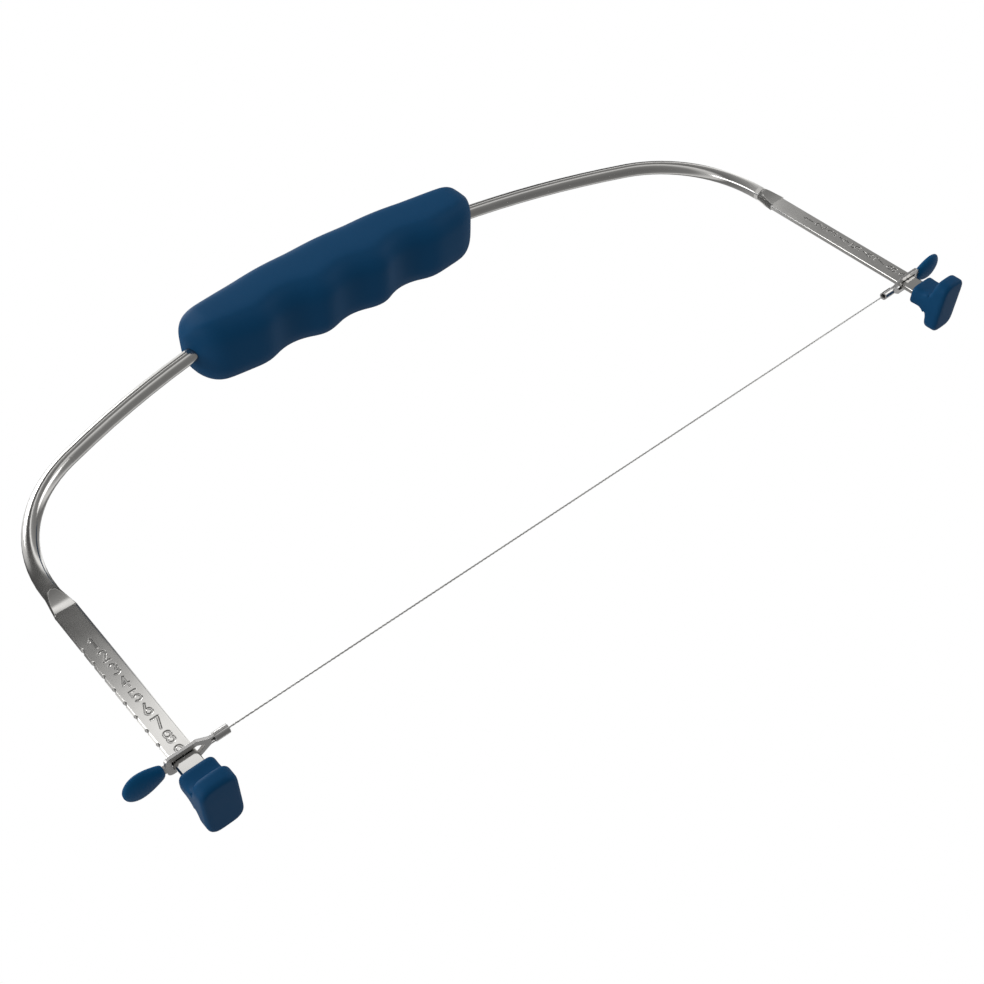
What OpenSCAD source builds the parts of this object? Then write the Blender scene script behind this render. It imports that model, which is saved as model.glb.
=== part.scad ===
// Cake leveler: a steel rod bow on two feet, with a cutting wire that hooks into numbered notches.
// It stands on its feet: X runs along the wire, +Z is up, and the numbers face -Y.

/* [Bow] */
// Diameter of the round steel rod
rod_d = 4.7; // [3.8:0.1:5.6]
// Distance between the centres of the two legs
leg_spacing = 273.4; // [230:0.2:320]
// Bend radius of each corner, at the rod's centre
corner_r = 42; // [34:1:50]
// Bend radius of the long crown, at the rod's centre
crown_r = 298; // [260:2:360]
// Round, straight stretch between a pressed leg and its corner
neck_len = 1.5; // [0.5:0.5:6]

/* [Pressed legs] */
// Width of a pressed leg, along X
leg_w = 6.6; // [6:0.1:8]
// Thickness of a pressed leg, along Y
leg_t = 2.6; // [2.2:0.1:3.2]
// Length over which the round rod turns into the pressed leg
press_len = 7; // [4:0.5:12]
// Plain pressed length above the top notch
flat_lead = 14; // [8:0.5:20]

/* [Notches and numbers] */
// Number of notches on each leg, numbered from the top
notch_count = 9; // [3:1:9]
// Distance from one notch to the next
notch_pitch = 5; // [4.6:0.1:6]
// Height of the lowest notch above the table
notch_low_z = 17.8; // [16.5:0.1:24]
// Radius of a notch
notch_r = 0.8; // [0.5:0.1:1.2]
// Depth of a notch in the leg's outer edge
notch_depth = 0.6; // [0.3:0.1:0.9]
// Height of a number
digit_h = 3.9; // [3:0.1:4.2]
// Width of a number's stroke
stroke_w = 0.5; // [0.3:0.05:0.6]
// Depth of the stamped strokes
stamp_depth = 0.2; // [0.1:0.05:0.4]

/* [Grip] */
// Length of the grip
grip_len = 111; // [96:1:124]
// Distance that the grip sits off the middle, along X
grip_shift = -5.3; // [-8:0.1:8]
// Depth of the grip, front to back
grip_depth = 23.8; // [18:0.2:30]
// Height of the grip's top over the rod's centre, at mid length
grip_over = 8.4; // [7.6:0.1:14]
// Depth of the finger side under the rod's centre, at mid length
grip_under = 18.5; // [15:0.5:24]
// Fall of the top line from mid length to an end
grip_top_fall = 6.2; // [3:0.1:6.6]
// Rise of the finger side from mid length to an end
grip_finger_rise = 5.9; // [3:0.1:6.4]
// Squareness of the grip's section, from 2 for an ellipse to 4
grip_square = 3.2; // [2:0.1:4]
// Rounding of the grip's ends on the top line
grip_top_round = 4; // [3:0.5:7]
// Rounding of the grip's ends on the finger side
grip_low_round = 10; // [5:0.5:12]
// Rounding of the grip's ends seen from above
grip_side_round = 8.5; // [3:0.5:9]
// Distance from one finger groove to the next
groove_pitch = 21.6; // [18:0.1:24]
// Depth of a finger groove
groove_depth = 4.2; // [2:0.1:5]
// Distance that the row of grooves sits off the grip's middle
groove_shift = 0; // [-4:0.1:4]

/* [Feet] */
// Width of a foot, along X
foot_w = 9.9; // [9.2:0.1:13]
// Length of a foot's base, along Y
foot_len = 18.5; // [16:0.5:26]
// Height of a foot
foot_h = 11.6; // [10:0.2:13]
// Depth of the foot's collar, along Y
collar_t = 7; // [6.2:0.1:9]
// Depth of the foot's waist, along Y
waist_t = 6; // [5.4:0.1:7]
// Height of the base's toes
toe_h = 4.7; // [3.6:0.1:5.6]
// Radius of the hollow between waist and toe
toe_hollow_r = 2.7; // [1.5:0.1:3.5]
// Rounding of the collar's rim
collar_round = 1.6; // [0.8:0.1:2]
// Rounding of the base's corners, seen from above
foot_corner_r = 3; // [1:0.1:3.6]
// Rounding of the foot's other edges
foot_round = 1.3; // [0.5:0.1:1.4]
// Thickness of the foot's floor under the leg
foot_floor = 3; // [2:0.1:5]

/* [Wire clips] */
// Thickness of the clip's sheet steel
clip_t = 0.9; // [0.6:0.1:1.2]
// Drop of the clip's middle below its notch
clip_drop = 1.1; // [0.4:0.1:1.4]
// Width of the steel round the eye
eye_rim = 1.6; // [1.2:0.1:2.2]
// Length of the eye's tapered end, past the leg's inner edge
eye_tip = 2; // [1.4:0.1:3]
// Outer radius of the eye's corners
eye_corner_r = 1.6; // [0.8:0.1:2.2]
// Length of the tongue between eye and barrel
tongue_len = 1.2; // [0.8:0.1:3]
// Width of the tongue and the tang
tongue_w = 2.4; // [1.8:0.1:3]
// Length of the rolled barrel that holds the wire
barrel_len = 4; // [3:0.1:6]
// Outer diameter of the barrel
barrel_d = 2.5; // [2:0.1:3.2]
// Depth of the belled mouth at each end of the barrel
mouth_len = 0.8; // [0.4:0.1:1.2]
// Diameter of the belled mouth
mouth_d = 1.6; // [1.2:0.1:1.8]
// Diameter of the cutting wire
wire_d = 0.5; // [0.3:0.05:0.8]

/* [Finger tabs] */
// Length of a finger tab
tab_len = 10.8; // [8:0.2:16]
// Widest width of a finger tab, along Y
tab_w = 9.4; // [7:0.2:12]
// Width of the tab where it meets the clip
tab_neck_w = 4.2; // [3.6:0.1:5]
// Thickness of a finger tab
tab_t = 3.3; // [2.6:0.1:4.4]
// Length of the steel tang inside the tab
tang_grip = 6; // [4:0.5:7]

/* [Fits] */
// Gap between the clip's eye and the leg, on every side
eye_clear = 0.1; // [0.08:0.01:0.15]
// Gap between the eye and the leg's flat faces
eye_face_clear = 0.3; // [0.2:0.05:0.5]
// Gap round the rod in the grip and round each leg in its foot
mould_gap = 0.02; // [0.01:0.01:0.05]
// Gap between the wire and the barrel's bore
wire_gap = 0.02; // [0.01:0.01:0.05]
// Gap between a tab and the eye of its clip
tab_gap = 0.4; // [0.3:0.05:1]

/* [Hidden] */

steel = "lightsteelblue";
blue = [0.06, 0.16, 0.30];
cut = 1;                 // overshoot of every cutting body
fine = 64;               // true curves
lap = 0.4;               // overlap of joined stretches of one body
joint_len = 1;           // stretch that joins two bends of the rod
joint_stand = 0.01;      // how far that stretch stands proud of the bends

leg_x = leg_spacing / 2;
notch_top_z = notch_low_z + (notch_count - 1) * notch_pitch;
flat_top_z = notch_top_z + flat_lead;
corner_x = leg_x - corner_r;
corner_z = flat_top_z + press_len + neck_len;
crown_z = corner_z - sqrt(pow(crown_r - corner_r, 2) - pow(corner_x, 2));
rod_top_z = crown_z + crown_r;
crown_a = atan2(corner_x, corner_z - crown_z);
clip_z = notch_low_z - clip_drop;
eye_out = leg_w / 2 + eye_clear;
eye_half = leg_t / 2 + eye_face_clear;
eye_in = leg_w / 2 + eye_face_clear;
tip_in = leg_w / 2 + eye_tip;
tongue_in = tip_in + eye_rim;
barrel_in = tongue_in + tongue_len;
wire_half = leg_x - barrel_in - mouth_len;

function sgn_pow(v, p) = sign(v) * pow(abs(v), p);
function rounding(dl, r) = dl < r ? r - sqrt(r * r - pow(r - dl, 2)) : 0;

// Solid through a list of closed rings that all have the same number of points
module loft(rings) {
    n = len(rings[0]);
    m = len(rings);
    points = [for (ring = rings) for (p = ring) p];
    sides = [for (j = [0 : m - 2]) for (i = [0 : n - 1])
        let (a = j * n + i, b = j * n + (i + 1) % n) each [[a, b + n, b], [a, a + n, b + n]]];
    first = [for (i = [0 : n - 1]) i];
    last = [for (i = [n - 1 : -1 : 0]) (m - 1) * n + i];
    polyhedron(points, concat([first], sides, [last]), convexity = 6);
}

module both_sides() {
    children();
    mirror([1, 0, 0]) children();
}

module stadium(w, t) {
    square([w - t, t], center = true);
    for (s = [-1, 1]) translate([s * (w - t) / 2, 0]) circle(d = t, $fn = fine);
}

// Stretch of rod bent about the Y axis at (x, z), from angle a0 to a1 measured from +X
module bent_rod(x, z, r, a0, a1) {
    translate([x, 0, z]) rotate([90, 0, 0]) rotate([0, 0, a0])
        rotate_extrude(angle = a1 - a0, $fn = fine * 2) translate([r, 0]) circle(d = rod_d, $fn = fine);
}

// Short straight stretch where a corner runs into the crown, a hair thicker than either bend
module bend_joint() {
    translate([corner_x, 0, corner_z]) rotate([0, crown_a, 0]) translate([0, 0, corner_r])
        rotate([0, 90, 0]) cylinder(d = rod_d + 2 * joint_stand, h = joint_len, center = true, $fn = fine);
}

// Blend from the round rod down to the pressed leg: a cone hollowed from front and back
module press_blend() {
    rise = (rod_d - leg_t) / 2;
    hollow_r = (press_len * press_len + rise * rise) / (2 * rise);
    translate([leg_x, 0, flat_top_z]) difference() {
        cylinder(d1 = leg_w, d2 = rod_d, h = press_len, $fn = fine);
        for (s = [-1, 1]) translate([0, s * (leg_t / 2 + hollow_r), 0]) rotate([0, 90, 0])
            cylinder(r = hollow_r, h = 2 * leg_w, center = true, $fn = fine * 4);
    }
}

module stroke(p, q) {
    d = q - p;
    translate(p) rotate(atan2(d[1], d[0])) translate([-stroke_w / 2, -stroke_w / 2])
        square([norm(d) + stroke_w, stroke_w]);
}

// Part of a ring of centre radius r about c, from angle a0 to a1
module bow_stroke(c, r, a0, a1) {
    reach = 3 * r;
    steps = ceil((a1 - a0) / 60);
    wedge = concat([[0, 0]], [for (k = [0 : steps])
        let (a = a0 + (a1 - a0) * k / steps) reach * [cos(a), sin(a)]]);
    translate(c) intersection() {
        difference() {
            circle(r + stroke_w / 2, $fn = 32);
            circle(r - stroke_w / 2, $fn = 32);
        }
        if (a1 - a0 < 360) polygon(wedge);
        else square(2 * reach, center = true);
    }
}

// One number, drawn about its own middle
module digit(n) {
    top = (digit_h - stroke_w) / 2;
    r = top / 2;
    if (n == 1) {
        stroke([0, -top], [0, top]);
        stroke([0, top], [-r * 0.8, top - r * 0.9]);
    }
    if (n == 2) {
        bow_stroke([0, r], r, -40, 170);
        stroke([r * 0.77, r * 0.36], [-r, -top]);
        stroke([-r, -top], [r, -top]);
    }
    if (n == 3) {
        bow_stroke([0, r], r, -90, 150);
        bow_stroke([0, -r], r, -150, 90);
    }
    if (n == 4) {
        stroke([r * 0.4, -top], [r * 0.4, top]);
        stroke([-r, -r * 0.7], [r, -r * 0.7]);
        stroke([-r, -r * 0.7], [r * 0.4, top]);
    }
    if (n == 5) {
        stroke([-r, top], [r * 0.9, top]);
        stroke([-r, top], [-r, r * 0.2]);
        bow_stroke([0, -r * 0.95], r * 1.05, -150, 140);
    }
    if (n == 6) {
        bow_stroke([0, -r], r, 0, 360);
        stroke([-r, -r], [r * 0.3, top]);
    }
    if (n == 7) {
        stroke([-r, top], [r, top]);
        stroke([r, top], [-r * 0.3, -top]);
    }
    if (n == 8) {
        bow_stroke([0, r], r, 0, 360);
        bow_stroke([0, -r], r, 0, 360);
    }
    if (n == 9) rotate(180) digit(6);
}

module notches() {
    for (k = [1 : notch_count]) {
        z = notch_top_z - (k - 1) * notch_pitch;
        translate([leg_x + leg_w / 2 + notch_r - notch_depth, 0, z]) rotate([90, 0, 0])
            cylinder(r = notch_r, h = leg_t + cut, center = true, $fn = 32);
    }
}

module numbers(x) {
    for (k = [1 : notch_count]) {
        z = notch_top_z - (k - 1) * notch_pitch;
        translate([x, -leg_t / 2 + stamp_depth, z]) rotate([90, 0, 0])
            linear_extrude(stamp_depth + cut) digit(k);
    }
}

// The rod bow: one bent piece whose two ends are pressed flat, notched and numbered
module bow() {
    color(steel) difference() {
        union() {
            bent_rod(0, crown_z, crown_r, 90 - crown_a, 90 + crown_a);
            both_sides() {
                bent_rod(corner_x, corner_z, corner_r, 0, 90 - crown_a);
                bend_joint();
                translate([leg_x, 0, corner_z - neck_len]) cylinder(d = rod_d, h = neck_len, $fn = fine);
                press_blend();
                translate([leg_x, 0, foot_floor]) linear_extrude(flat_top_z - foot_floor)
                    stadium(leg_w, leg_t);
            }
        }
        both_sides() notches();
        for (s = [-1, 1]) numbers(s * leg_x);
    }
}

// Height of the finger side at x, measured from the grip's middle
function finger_line(x) =
    let (u = 2 * x / grip_len, row = (x - groove_shift) / groove_pitch + 1.5,
         f = row - floor(row), scoop = row > 0 && row < 3 ? groove_depth * (1 - pow(2 * f - 1, 2)) : 0)
    rod_top_z - grip_under + grip_finger_rise * u * u + scoop;

function top_line(x) = let (u = 2 * x / grip_len) rod_top_z + grip_over - grip_top_fall * u * u;

// Section of the grip at x: a squared ellipse between the top line and the finger side
function grip_ring(x) =
    let (sides = 28, dl = grip_len / 2 - abs(x),
         top = top_line(x) - rounding(dl, grip_top_round),
         low = finger_line(x) + rounding(dl, grip_low_round),
         half = grip_depth / 2 - rounding(dl, grip_side_round))
    [for (i = [0 : sides - 1]) let (a = 360 * (i + 0.5) / sides)
        [grip_shift + x, half * sgn_pow(cos(a), 2 / grip_square),
         (top + low) / 2 + (top - low) / 2 * sgn_pow(sin(a), 2 / grip_square)]];

module grip() {
    steps = 42;
    color(blue) difference() {
        loft([for (k = [0 : steps]) grip_ring(-cos(180 * k / steps) * grip_len / 2)]);
        translate([0, 0, crown_z]) rotate([90, 0, 0]) rotate([0, 0, 90 - crown_a])
            rotate_extrude(angle = 2 * crown_a, $fn = fine * 2) translate([crown_r, 0])
                circle(d = rod_d + 2 * mould_gap, $fn = fine);
    }
}

// Outline of half a foot, front to back, as seen along X
module foot_side() {
    hollow_y = waist_t / 2 + toe_hollow_r;
    difference() {
        union() {
            translate([-foot_len / 2, 0]) square([foot_len, toe_h]);
            translate([-waist_t / 2, 0]) square([waist_t, foot_h - collar_round]);
            translate([-hollow_y, 0]) square([2 * hollow_y, toe_h + toe_hollow_r]);
            translate([-collar_t / 2, toe_h + toe_hollow_r])
                square([collar_t, foot_h - toe_h - toe_hollow_r]);
        }
        for (s = [-1, 1]) {
            translate([s * hollow_y, toe_h + toe_hollow_r]) circle(toe_hollow_r, $fn = fine);
            corner_cut(s * foot_len / 2, toe_h, foot_round, s, 1);
            corner_cut(s * foot_len / 2, 0, foot_round, s, -1);
            corner_cut(s * collar_t / 2, foot_h, collar_round, s, 1);
        }
    }
}

// What a rounding of radius r takes off the corner at (x, y), which points towards (sx, sy)
module corner_cut(x, y, r, sx, sy) {
    difference() {
        translate([x - (sx > 0 ? r : cut), y - (sy > 0 ? r : cut)]) square(r + cut);
        translate([x - sx * r, y - sy * r]) circle(r, $fn = fine);
    }
}

module rounded_square(w, h, r) {
    difference() {
        translate([-w / 2, 0]) square([w, h]);
        for (sx = [-1, 1], sy = [-1, 1]) corner_cut(sx * w / 2, sy > 0 ? h : 0, r, sx, sy);
    }
}

// A foot, moulded round the end of its leg
module foot() {
    difference() {
        intersection() {
            rotate([90, 0, 90]) translate([0, 0, -foot_w / 2]) linear_extrude(foot_w) foot_side();
            rotate([90, 0, 0]) translate([0, 0, -foot_len / 2]) linear_extrude(foot_len)
                rounded_square(foot_w, foot_h, foot_round);
            translate([0, -foot_len / 2, 0]) linear_extrude(foot_h)
                rounded_square(foot_w, foot_len, foot_corner_r);
        }
        translate([0, 0, foot_floor]) linear_extrude(foot_h)
            stadium(leg_w + 2 * mould_gap, leg_t + 2 * mould_gap);
    }
}

module left_foot() color(blue) mirror([1, 0, 0]) translate([leg_x, 0, 0]) foot();
module right_foot() color(blue) translate([leg_x, 0, 0]) foot();

// Flat outline of a clip, with the leg's centre at the origin and the tab towards +X
module clip_outline() {
    half = eye_half + eye_rim;
    end = eye_out + eye_rim;
    difference() {
        union() {
            difference() {
                translate([-eye_in, -half]) square([eye_in + end, 2 * half]);
                for (s = [-1, 1])
                    translate([0, s > 0 ? half : -half]) corner_cut(end, 0, eye_corner_r, 1, s);
            }
            polygon([[-eye_in, -half], [-eye_in, half], [-tongue_in, tongue_w / 2],
                     [-tongue_in, -tongue_w / 2]]);
            translate([-barrel_in - lap, -tongue_w / 2]) square([tongue_len + 2 * lap, tongue_w]);
            translate([end - lap, -tongue_w / 2]) square([tab_gap + tang_grip + lap, tongue_w]);
        }
        translate([-eye_in, -eye_half]) square([eye_in + eye_out, 2 * eye_half]);
        polygon([[-eye_in, -eye_half], [-eye_in, eye_half], [-tip_in, eye_half * 0.2],
                 [-tip_in, -eye_half * 0.2]]);
    }
}

// A clip: a flat eye round the leg, a tang for the tab and a rolled barrel round the wire
module clip() {
    difference() {
        union() {
            translate([0, 0, -clip_t / 2]) linear_extrude(clip_t) clip_outline();
            translate([-barrel_in - barrel_len, 0, 0]) rotate([0, 90, 0])
                cylinder(d = barrel_d, h = barrel_len, $fn = fine);
        }
        translate([-barrel_in - barrel_len, 0, 0]) rotate([0, 90, 0]) {
            translate([0, 0, -cut]) cylinder(d = wire_d + 2 * wire_gap, h = barrel_len + cut, $fn = 32);
            translate([0, 0, -cut]) cylinder(d = mouth_d, h = mouth_len + cut, $fn = 32);
            translate([0, 0, barrel_len - mouth_len]) cylinder(d = mouth_d, h = mouth_len + cut, $fn = 32);
        }
    }
}

module left_clip() color(steel) mirror([1, 0, 0]) translate([leg_x, 0, clip_z]) clip();
module right_clip() color(steel) translate([leg_x, 0, clip_z]) clip();

// Half width of the tab at the share s of its length, from the neck to the round end
function tab_half(s) =
    let (belly = 0.62, neck = tab_neck_w / 2, wide = tab_w / 2)
    s < belly ? neck + (wide - neck) * sin(90 * s / belly)
              : wide * sqrt(1 - 0.98 * pow((s - belly) / (1 - belly), 2));

function tab_thick(s) = tab_t / 2 * (0.72 + 0.28 * sin(150 * min(1, s * 1.1))) * sqrt(1 - 0.9 * pow(s, 6));

// A finger tab: a flat teardrop moulded over the clip's tang
module tab() {
    sides = 20;
    steps = 12;
    start = eye_out + eye_rim + tab_gap;
    difference() {
        loft([for (k = [0 : steps]) let (s = sin(90 * k / steps), w = tab_half(s), t = tab_thick(s))
            [for (i = [0 : sides - 1]) let (a = 360 * (i + 0.5) / sides)
                [start + s * tab_len, w * sgn_pow(cos(a), 0.8), t * sgn_pow(sin(a), 0.8)]]]);
        translate([start - cut, -tongue_w / 2, -clip_t / 2]) cube([tang_grip + cut, tongue_w, clip_t]);
    }
}

module left_tab() color(blue) mirror([1, 0, 0]) translate([leg_x, 0, clip_z]) tab();
module right_tab() color(blue) translate([leg_x, 0, clip_z]) tab();

module cutting_wire() {
    color("silver") translate([-wire_half, 0, clip_z]) rotate([0, 90, 0])
        cylinder(d = wire_d, h = 2 * wire_half, $fn = 32);
}

bow();
grip();
left_foot();
right_foot();
left_clip();
right_clip();
left_tab();
right_tab();
cutting_wire();
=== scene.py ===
"""A wire cake leveler on a white ground, seen from its left, front and below.

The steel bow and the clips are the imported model's own nodes. The moulded grip, the feet, the
finger tabs and the stranded wire are modelled here, each where its node is.
"""

import math

import bpy
from mathutils import Matrix, Vector


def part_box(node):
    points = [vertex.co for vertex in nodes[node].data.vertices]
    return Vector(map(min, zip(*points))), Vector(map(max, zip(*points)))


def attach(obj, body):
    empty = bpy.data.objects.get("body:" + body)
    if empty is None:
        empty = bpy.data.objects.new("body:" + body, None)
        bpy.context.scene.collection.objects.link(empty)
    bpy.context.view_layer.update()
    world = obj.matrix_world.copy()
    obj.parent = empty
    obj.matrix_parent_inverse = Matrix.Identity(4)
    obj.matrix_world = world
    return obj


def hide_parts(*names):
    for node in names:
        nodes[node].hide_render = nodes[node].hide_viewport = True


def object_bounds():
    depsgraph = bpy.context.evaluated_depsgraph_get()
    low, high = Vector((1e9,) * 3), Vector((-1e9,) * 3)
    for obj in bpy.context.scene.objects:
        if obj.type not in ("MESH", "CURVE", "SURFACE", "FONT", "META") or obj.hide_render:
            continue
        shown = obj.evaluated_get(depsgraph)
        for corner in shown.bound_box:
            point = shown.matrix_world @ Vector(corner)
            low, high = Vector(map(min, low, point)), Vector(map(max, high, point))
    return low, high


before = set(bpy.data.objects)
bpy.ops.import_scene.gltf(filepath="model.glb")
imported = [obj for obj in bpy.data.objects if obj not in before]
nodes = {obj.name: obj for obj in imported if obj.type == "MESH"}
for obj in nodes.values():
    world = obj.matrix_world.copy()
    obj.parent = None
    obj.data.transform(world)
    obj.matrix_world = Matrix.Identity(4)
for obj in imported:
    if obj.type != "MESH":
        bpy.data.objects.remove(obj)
cad_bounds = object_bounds()

MM = 0.001

# The camera fitted to the photograph: its place in metres and the directions of its axes
CAMERA_PLACE = (-0.19244, -0.26918, -0.14862)
CAMERA_RIGHT = (0.754188, -0.018170, -0.656408)
CAMERA_DOWN = (-0.475757, 0.673879, -0.565281)
CAMERA_FORWARD = (0.452610, 0.738619, 0.499587)
# Nothing nearer to it than this is seen, in metres
CAMERA_NEAREST = 0.01
# The width of its film and the length of its lens, in millimetres
SENSOR = 36.0
LENS = 48.38

# Two places closer than this are one
NEAR = 0.02 * MM
# A face whose normal reaches this far along an axis faces that way
SQUARE_ON = 0.9
# A ring of a lofted node has at least this many vertices
RING_POINTS = 20
# The bore of the grip's node reaches no further than this from the middle
BORE_HALF = 2.8 * MM

# How round the grip's long edges are, and in how many steps
GRIP_EDGE = 7.6 * MM
GRIP_EDGE_STEPS = 5
# Half a foot's depth at its collar and at its waist, and the heights of its waist and its toes
COLLAR_HALF = 3.5 * MM
WAIST_HALF = 3.0 * MM
WAIST_HEIGHT = 7.6 * MM
TOE_HEIGHT = 4.9 * MM
# How much lower the tip of a toe is
TOE_SLOPE = 0.5 * MM
# How round a foot is: its corners seen from above, its collar's, the hollow over its toes, the rest
FOOT_CORNER = 3.2 * MM
FOOT_CORNER_STEPS = 4
COLLAR_CORNER = 2.0 * MM
COLLAR_CORNER_STEPS = 3
FOOT_HOLLOW = 2.4 * MM
FOOT_HOLLOW_STEPS = 4
FOOT_EDGE = 1.6 * MM
FOOT_EDGE_STEPS = 4
# An edge that turns less than this stays as it is
FOOT_EDGE_TURN = math.radians(40)
# Sides of a tab's rings
TAB_SIDES = 32
# The wire's strands, the length in which one strand goes once round, and its steps in that length
STRANDS = 3
LAY = 4.0 * MM
LAY_STEPS = 6

# The part of a noise's range that is spread over a finish
NOISE_LOW = 0.3
NOISE_HIGH = 0.7
# Samples for rounded edges and for hollows
SHADE_SAMPLES = 8
# Steel: drawing marks, drawn out along Z, a coarse haze, and what is left of the colour in it
MARK_SCALE = 1400.0
MARK_STRETCH = (1.0, 1.0, 0.12)
MARK_STRENGTH = 0.02
MARK_DEPTH = 0.03 * MM
HAZE_SCALE = 70.0
HAZE_SHADE = 0.82
# How far the shade painted into the steel's hollows reaches round them
PAINTED_SHADE_REACH = 0.9 * MM
# Plastic: a fine grain, a coarse cloud, what is left of the colour in it, roughness and gloss
GRAIN_SCALE = 3200.0
GRAIN_STRENGTH = 0.12
GRAIN_DEPTH = 0.05 * MM
CLOUD_SCALE = 45.0
CLOUD_SHADE = 0.9
PLASTIC_ROUGH = (0.50, 0.60)
PLASTIC_GLOSS = 0.10


def new_material(name):
    """A material with a Principled shader: the material, its node tree and its shader."""
    material = bpy.data.materials.new(name)
    material.use_nodes = True
    tree = material.node_tree
    return material, tree, tree.nodes["Principled BSDF"]


def object_noise(tree, scale, stretch=(1.0, 1.0, 1.0), detail=3.0):
    """Noise over the object's own coordinates. A smaller stretch on an axis draws it out there."""
    coords = tree.nodes.new("ShaderNodeTexCoord")
    mapping = tree.nodes.new("ShaderNodeMapping")
    mapping.inputs["Scale"].default_value = stretch
    noise = tree.nodes.new("ShaderNodeTexNoise")
    noise.inputs["Scale"].default_value = scale
    noise.inputs["Detail"].default_value = detail
    tree.links.new(coords.outputs["Object"], mapping.inputs["Vector"])
    tree.links.new(mapping.outputs["Vector"], noise.inputs["Vector"])
    return noise


def spread(tree, noise, socket, limits):
    """Sends the noise to a socket, spread between the two limits."""
    ramp = tree.nodes.new("ShaderNodeMapRange")
    ramp.inputs["From Min"].default_value = NOISE_LOW
    ramp.inputs["From Max"].default_value = NOISE_HIGH
    ramp.inputs["To Min"].default_value = limits[0]
    ramp.inputs["To Max"].default_value = limits[1]
    tree.links.new(noise.outputs["Fac"], ramp.inputs["Value"])
    tree.links.new(ramp.outputs["Result"], socket)


def tint(tree, noise, socket, first, second):
    """Sends the noise to a colour socket, as a mix of two colours."""
    mix = tree.nodes.new("ShaderNodeMix")
    mix.data_type = "RGBA"
    mix.inputs["A"].default_value = (*first, 1.0)
    mix.inputs["B"].default_value = (*second, 1.0)
    tree.links.new(noise.outputs["Fac"], mix.inputs["Factor"])
    tree.links.new(mix.outputs["Result"], socket)


def surface(tree, shader, noise, strength, depth, edge):
    """A bump from the noise, on a normal that is rounded over every edge."""
    soften = tree.nodes.new("ShaderNodeBevel")
    soften.samples = SHADE_SAMPLES
    soften.inputs["Radius"].default_value = edge
    relief = tree.nodes.new("ShaderNodeBump")
    relief.inputs["Strength"].default_value = strength
    relief.inputs["Distance"].default_value = depth
    tree.links.new(soften.outputs["Normal"], relief.inputs["Normal"])
    tree.links.new(noise.outputs["Fac"], relief.inputs["Height"])
    tree.links.new(relief.outputs["Normal"], shader.inputs["Normal"])


def steel(name, colour, rough, edge):
    """Polished steel with faint drawing marks, and shade painted into its hollows."""
    material, tree, shader = new_material(name)
    shader.inputs["Metallic"].default_value = 1.0
    marks = object_noise(tree, MARK_SCALE, stretch=MARK_STRETCH)
    haze = object_noise(tree, HAZE_SCALE)
    darker = tuple(HAZE_SHADE * part for part in colour)
    # Painted shade: ambient occlusion darkens the steel's colour in its notches, stamped marks and
    # creases
    painted_shade = tree.nodes.new("ShaderNodeAmbientOcclusion")
    painted_shade.samples = SHADE_SAMPLES
    painted_shade.inputs["Distance"].default_value = PAINTED_SHADE_REACH
    tint(tree, haze, painted_shade.inputs["Color"], darker, colour)
    tree.links.new(painted_shade.outputs["Color"], shader.inputs["Base Color"])
    spread(tree, haze, shader.inputs["Roughness"], rough)
    surface(tree, shader, marks, MARK_STRENGTH, MARK_DEPTH, edge)
    return material


def blue_plastic(name, colour, edge):
    """Matte moulded plastic with a fine grain."""
    material, tree, shader = new_material(name)
    grain = object_noise(tree, GRAIN_SCALE)
    cloud = object_noise(tree, CLOUD_SCALE)
    darker = tuple(CLOUD_SHADE * part for part in colour)
    tint(tree, cloud, shader.inputs["Base Color"], darker, colour)
    spread(tree, cloud, shader.inputs["Roughness"], PLASTIC_ROUGH)
    shader.inputs["Specular IOR Level"].default_value = PLASTIC_GLOSS
    surface(tree, shader, grain, GRAIN_STRENGTH, GRAIN_DEPTH, edge)
    return material


def at(value, place):
    """Whether two places on one axis are one."""
    return abs(value - place) < NEAR


def paint(thing, material):
    """Gives a piece one material all over."""
    thing.data.materials.clear()
    thing.data.materials.append(material)


def select_only(thing):
    """Selects one piece, and nothing else, and makes it the active one."""
    bpy.ops.object.select_all(action="DESELECT")
    thing.select_set(True)
    bpy.context.view_layer.objects.active = thing


def edit(thing):
    """Opens a piece in edit mode with nothing selected."""
    select_only(thing)
    bpy.ops.object.mode_set(mode="EDIT")
    bpy.ops.mesh.select_all(action="DESELECT")


def done():
    """Leaves edit mode."""
    bpy.ops.object.mode_set(mode="OBJECT")


def select_vertices(thing, wanted):
    """In edit mode, selects the vertices for whose place wanted says yes."""
    bpy.ops.mesh.select_mode(type="VERT")
    bpy.ops.mesh.select_all(action="DESELECT")
    done()
    for vertex in thing.data.vertices:
        vertex.select = wanted(vertex.co)
    bpy.ops.object.mode_set(mode="EDIT")


def select_edges(thing, wanted):
    """In edit mode, selects the edges for whose two ends wanted says yes."""
    bpy.ops.mesh.select_mode(type="EDGE")
    bpy.ops.mesh.select_all(action="DESELECT")
    done()
    for line in thing.data.edges:
        a, b = (thing.data.vertices[i].co for i in line.vertices)
        line.select = wanted(a, b)
    bpy.ops.object.mode_set(mode="EDIT")


def select_faces(thing, wanted):
    """In edit mode, selects the faces for whose centre and normal wanted says yes."""
    bpy.ops.mesh.select_mode(type="FACE")
    bpy.ops.mesh.select_all(action="DESELECT")
    done()
    for face in thing.data.polygons:
        face.select = wanted(face.center, face.normal)
    bpy.ops.object.mode_set(mode="EDIT")


def cut_into_rings(rings):
    """In edit mode, cuts the piece across X at every ring between its two ends."""
    for x, *_ in rings[1:-1]:
        bpy.ops.mesh.select_all(action="SELECT")
        bpy.ops.mesh.bisect(plane_co=(x, 0, 0), plane_no=(1, 0, 0))


def finish_piece(thing, node, body, material, smooth_levels):
    """Smooths a piece, gives it its finish and puts it in the place of its node."""
    select_only(thing)
    if smooth_levels:
        smooth = thing.modifiers.new("smooth", "SUBSURF")
        smooth.levels = smooth_levels
        bpy.ops.object.modifier_apply(modifier=smooth.name)
    bpy.ops.object.shade_smooth()
    paint(thing, material)
    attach(thing, body)
    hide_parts(node)


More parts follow.
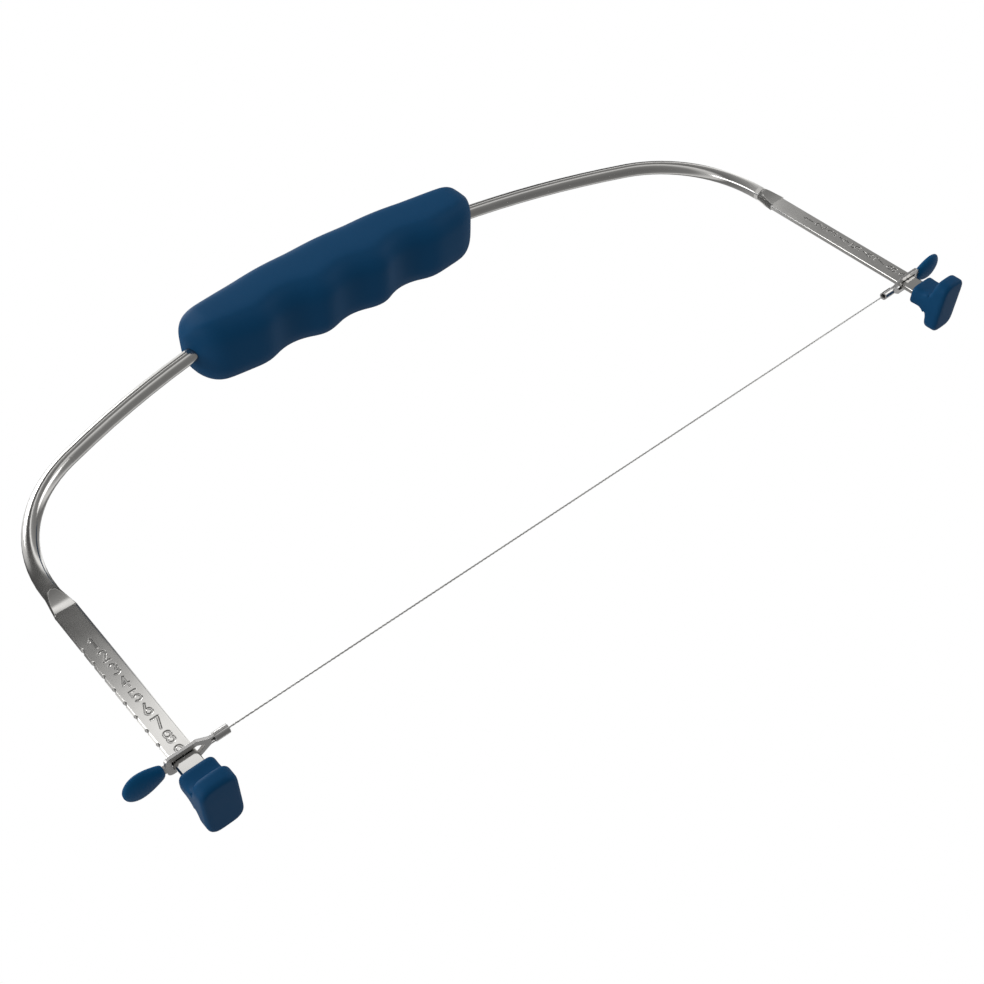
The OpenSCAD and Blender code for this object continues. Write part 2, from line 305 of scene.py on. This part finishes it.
def rings_of(node, least_half=0.0):
    """The rings of a lofted node, from left to right: x, lowest z, highest z and greatest y.

    Rings that reach no further than least_half along Y belong to the node's bore and are left out.
    """
    rings = {}
    for vertex in nodes[node].data.vertices:
        rings.setdefault(round(vertex.co.x, 5), []).append(vertex.co)
    outer = [
        ring for ring in sorted(rings.items())
        if len(ring[1]) >= RING_POINTS and max(p.y for p in ring[1]) > least_half
    ]
    return [
        (x, min(p.z for p in points), max(p.z for p in points), max(p.y for p in points))
        for x, points in outer
    ]


bow_steel = steel("bow_steel", (0.62, 0.61, 0.59), rough=(0.10, 0.17), edge=0.25 * MM)
clip_steel = steel("clip_steel", (0.58, 0.57, 0.56), rough=(0.20, 0.30), edge=0.15 * MM)
wire_steel = steel("wire_steel", (0.80, 0.79, 0.77), rough=(0.25, 0.35), edge=0.02 * MM)
grip_blue = blue_plastic("grip_blue", (0.0045, 0.066, 0.170), edge=1.0 * MM)
foot_blue = blue_plastic("foot_blue", (0.0032, 0.062, 0.162), edge=1.2 * MM)
tab_blue = blue_plastic("tab_blue", (0.0040, 0.084, 0.212), edge=0.4 * MM)

CAD_FINISHES = {
    "bow": bow_steel,
    "grip": grip_blue,
    "left_foot": foot_blue,
    "right_foot": foot_blue,
    "left_clip": clip_steel,
    "right_clip": clip_steel,
    "left_tab": tab_blue,
    "right_tab": tab_blue,
    "cutting_wire": wire_steel,
}
for node, material in CAD_FINISHES.items():
    paint(nodes[node], material)


def softbox(name, place, target, width, height, watts):
    """An area light at place that faces target."""
    light = bpy.data.lights.new(name, "AREA")
    light.shape = "RECTANGLE"
    light.size = width
    light.size_y = height
    light.energy = watts
    lamp = bpy.data.objects.new(name, light)
    lamp.location = place
    lamp.rotation_euler = (Vector(target) - Vector(place)).to_track_quat("-Z", "Y").to_euler()
    bpy.context.scene.collection.objects.link(lamp)


middle = (cad_bounds[0] + cad_bounds[1]) / 2
softbox("top", (-0.20, -0.25, 1.10), middle, width=0.5, height=0.5, watts=5.0)
softbox("left", (-1.00, -0.20, 0.20), middle, width=0.25, height=0.8, watts=2.5)
softbox("fill", (0.90, -0.50, -0.10), middle, width=0.4, height=0.6, watts=1.5)

# Brightness of the room round the object by height: -1 is straight down, 1 is straight up
ROOM_STRENGTH = 1.5
ROOM = (
    (-1.00, 0.14),
    (-0.50, 0.20),
    (-0.14, 0.70),
    (0.02, 0.12),
    (0.28, 0.20),
    (0.46, 0.28),
    (0.51, 1.00),
    (0.55, 1.00),
    (0.595, 0.08),
    (0.78, 0.06),
    (0.86, 0.55),
    (1.00, 0.90),
)


def white_world():
    """White behind the object, and a room of grey bands that lights it and shows in the steel."""
    world = bpy.data.worlds.new("white")
    world.use_nodes = True
    tree = world.node_tree
    tree.nodes.clear()
    coords = tree.nodes.new("ShaderNodeTexCoord")
    split = tree.nodes.new("ShaderNodeSeparateXYZ")
    rise = tree.nodes.new("ShaderNodeMapRange")
    rise.inputs["From Min"].default_value = -1.0
    bands = tree.nodes.new("ShaderNodeValToRGB")
    stops = bands.color_ramp.elements
    for place, grey in ROOM[1:-1]:
        stops.new((place + 1) / 2).color = (grey, grey, grey, 1.0)
    stops[0].color = (ROOM[0][1],) * 3 + (1.0,)
    stops[len(stops) - 1].color = (ROOM[-1][1],) * 3 + (1.0,)
    room = tree.nodes.new("ShaderNodeBackground")
    room.inputs["Strength"].default_value = ROOM_STRENGTH
    seen = tree.nodes.new("ShaderNodeBackground")
    seen.inputs["Color"].default_value = (1.0, 1.0, 1.0, 1.0)
    path = tree.nodes.new("ShaderNodeLightPath")
    mix = tree.nodes.new("ShaderNodeMixShader")
    out = tree.nodes.new("ShaderNodeOutputWorld")
    tree.links.new(coords.outputs["Generated"], split.inputs["Vector"])
    tree.links.new(split.outputs["Z"], rise.inputs["Value"])
    tree.links.new(rise.outputs["Result"], bands.inputs["Fac"])
    tree.links.new(bands.outputs["Color"], room.inputs["Color"])
    tree.links.new(path.outputs["Is Camera Ray"], mix.inputs["Fac"])
    tree.links.new(room.outputs["Background"], mix.inputs[1])
    tree.links.new(seen.outputs["Background"], mix.inputs[2])
    tree.links.new(mix.outputs["Shader"], out.inputs["Surface"])
    bpy.context.scene.world = world


white_world()


def make_grip():
    """A block with rounded long edges, cut into rings that follow the node's outline."""
    rings = rings_of("grip", least_half=BORE_HALF)
    low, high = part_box("grip")
    size = high - low
    bpy.ops.object.select_all(action="DESELECT")
    bpy.ops.mesh.primitive_cube_add(size=1, location=(low + high) / 2)
    grip = bpy.context.object
    grip.name = "moulded_grip"
    grip.scale = size
    bpy.ops.object.transform_apply(location=True, rotation=True, scale=True)
    edit(grip)
    select_edges(grip, lambda a, b: abs(a.x - b.x) > size.x / 2)
    bpy.ops.mesh.bevel(offset=GRIP_EDGE, segments=GRIP_EDGE_STEPS)
    cut_into_rings(rings)
    for x, ring_low, ring_high, half in rings:
        select_vertices(grip, lambda co, x=x: at(co.x, x))
        centre = (x, 0, (low.z + high.z) / 2)
        bpy.ops.transform.resize(
            value=(1, half / high.y, (ring_high - ring_low) / size.z), center_override=centre
        )
        bpy.ops.transform.translate(value=(0, 0, (ring_low + ring_high) / 2 - centre[2]))
    done()
    finish_piece(grip, "grip", "frame", grip_blue, smooth_levels=2)


def make_wire():
    """Strands that wind round each other, as long as the node."""
    low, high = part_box("cutting_wire")
    axis_z = (low.z + high.z) / 2
    radius = (high.y - low.y) / 2
    strand_r = radius / (1 + 1 / math.sin(math.pi / STRANDS))
    winding_r = radius - strand_r
    length = high.x - low.x
    steps = int(length / LAY * LAY_STEPS)
    curve = bpy.data.curves.new("stranded_wire", "CURVE")
    curve.dimensions = "3D"
    curve.bevel_depth = strand_r
    curve.bevel_resolution = 1
    curve.use_fill_caps = True
    for strand in range(STRANDS):
        line = curve.splines.new("POLY")
        line.points.add(steps)
        for i, point in enumerate(line.points):
            x = low.x + length * i / steps
            turn = 2 * math.pi * ((x - low.x) / LAY + strand / STRANDS)
            point.co = (x, winding_r * math.cos(turn), axis_z + winding_r * math.sin(turn), 1)
    wire = bpy.data.objects.new("stranded_wire", curve)
    bpy.context.scene.collection.objects.link(wire)
    select_only(wire)
    bpy.ops.object.convert(target="MESH")
    wire = bpy.context.object
    finish_piece(wire, "cutting_wire", "wire_carriage", wire_steel, smooth_levels=0)


def make_tab(side):
    """A round bar along X, cut into rings that follow the node's flat teardrop."""
    node = side + "_tab"
    rings = rings_of(node)
    low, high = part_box(node)
    size = high - low
    centre = (low + high) / 2
    bpy.ops.object.select_all(action="DESELECT")
    bpy.ops.mesh.primitive_cylinder_add(
        vertices=TAB_SIDES, radius=0.5, depth=1, location=centre, rotation=(0, math.pi / 2, 0)
    )
    tab = bpy.context.object
    tab.name = side + "_finger_tab"
    bpy.ops.object.transform_apply(location=False, rotation=True, scale=False)
    tab.scale = size
    bpy.ops.object.transform_apply(location=True, rotation=True, scale=True)
    edit(tab)
    cut_into_rings(rings)
    for x, ring_low, ring_high, half in rings:
        select_vertices(tab, lambda co, x=x: at(co.x, x))
        bpy.ops.transform.resize(
            value=(1, half / high.y, (ring_high - ring_low) / size.z),
            center_override=(x, 0, centre.z),
        )
    done()
    finish_piece(tab, node, "wire_carriage", tab_blue, smooth_levels=1)


def make_foot(side):
    """A block with its toes drawn out to front and back, and its edges rounded."""
    node = side + "_foot"
    low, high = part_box(node)
    centre = (low + high) / 2
    toe = high.y

    def toe_corner(a, b):
        return at(a.x, b.x) and min(abs(a.y), abs(b.y)) > toe - NEAR

    def collar_corner(a, b):
        upright = at(a.x, b.x) and not at(a.z, b.z)
        outermost = at(abs(a.x - centre.x), high.x - centre.x)
        return upright and outermost and min(a.z, b.z) > WAIST_HEIGHT - NEAR

    def toe_crease(a, b):
        level = at(a.z, TOE_HEIGHT) and at(b.z, TOE_HEIGHT)
        on_collar = at(abs(a.y), COLLAR_HALF) and at(abs(b.y), COLLAR_HALF)
        return level and on_collar and at(a.y, b.y)

    bpy.ops.object.select_all(action="DESELECT")
    bpy.ops.mesh.primitive_cube_add(size=1, location=centre)
    foot = bpy.context.object
    foot.name = side + "_moulded_foot"
    foot.scale = (high.x - low.x, 2 * COLLAR_HALF, high.z - low.z)
    bpy.ops.object.transform_apply(location=True, rotation=True, scale=True)
    edit(foot)
    for height in (TOE_HEIGHT, WAIST_HEIGHT):
        bpy.ops.mesh.select_all(action="SELECT")
        bpy.ops.mesh.bisect(plane_co=(0, 0, height), plane_no=(0, 0, 1))
    for way in (-1, 1):
        select_faces(foot, lambda c, n, way=way: n.y * way > SQUARE_ON and c.z < TOE_HEIGHT)
        bpy.ops.mesh.extrude_region_move(
            TRANSFORM_OT_translate={"value": (0, way * (toe - COLLAR_HALF), 0)}
        )
    select_vertices(foot, lambda co: at(co.z, WAIST_HEIGHT))
    bpy.ops.transform.resize(value=(1, WAIST_HALF / COLLAR_HALF, 1), center_override=centre)
    select_vertices(foot, lambda co: at(co.z, TOE_HEIGHT) and at(abs(co.y), toe))
    bpy.ops.transform.translate(value=(0, 0, -TOE_SLOPE))
    select_edges(foot, toe_corner)
    bpy.ops.mesh.bevel(offset=FOOT_CORNER, segments=FOOT_CORNER_STEPS)
    select_edges(foot, collar_corner)
    bpy.ops.mesh.bevel(offset=COLLAR_CORNER, segments=COLLAR_CORNER_STEPS)
    select_edges(foot, toe_crease)
    bpy.ops.mesh.bevel(offset=FOOT_HOLLOW, segments=FOOT_HOLLOW_STEPS)
    done()
    edges = foot.modifiers.new("edges", "BEVEL")
    edges.width = FOOT_EDGE
    edges.segments = FOOT_EDGE_STEPS
    edges.limit_method = "ANGLE"
    edges.angle_limit = FOOT_EDGE_TURN
    bpy.ops.object.modifier_apply(modifier=edges.name)
    finish_piece(foot, node, "frame", foot_blue, smooth_levels=1)


make_grip()
make_wire()
for side in ("left", "right"):
    make_foot(side)
    make_tab(side)


def photo_camera():
    """The scene's camera, placed and turned to match the photograph."""
    lens = bpy.data.cameras.new("camera")
    lens.sensor_width = SENSOR
    lens.lens = LENS
    lens.clip_start = CAMERA_NEAREST
    camera = bpy.data.objects.new("camera", lens)
    columns = (Vector(CAMERA_RIGHT), -Vector(CAMERA_DOWN), -Vector(CAMERA_FORWARD))
    turn = Matrix(columns).transposed()
    camera.matrix_world = Matrix.Translation(CAMERA_PLACE) @ turn.to_4x4()
    bpy.context.scene.collection.objects.link(camera)
    bpy.context.scene.camera = camera


photo_camera()
bpy.context.scene.view_settings.view_transform = "Standard"
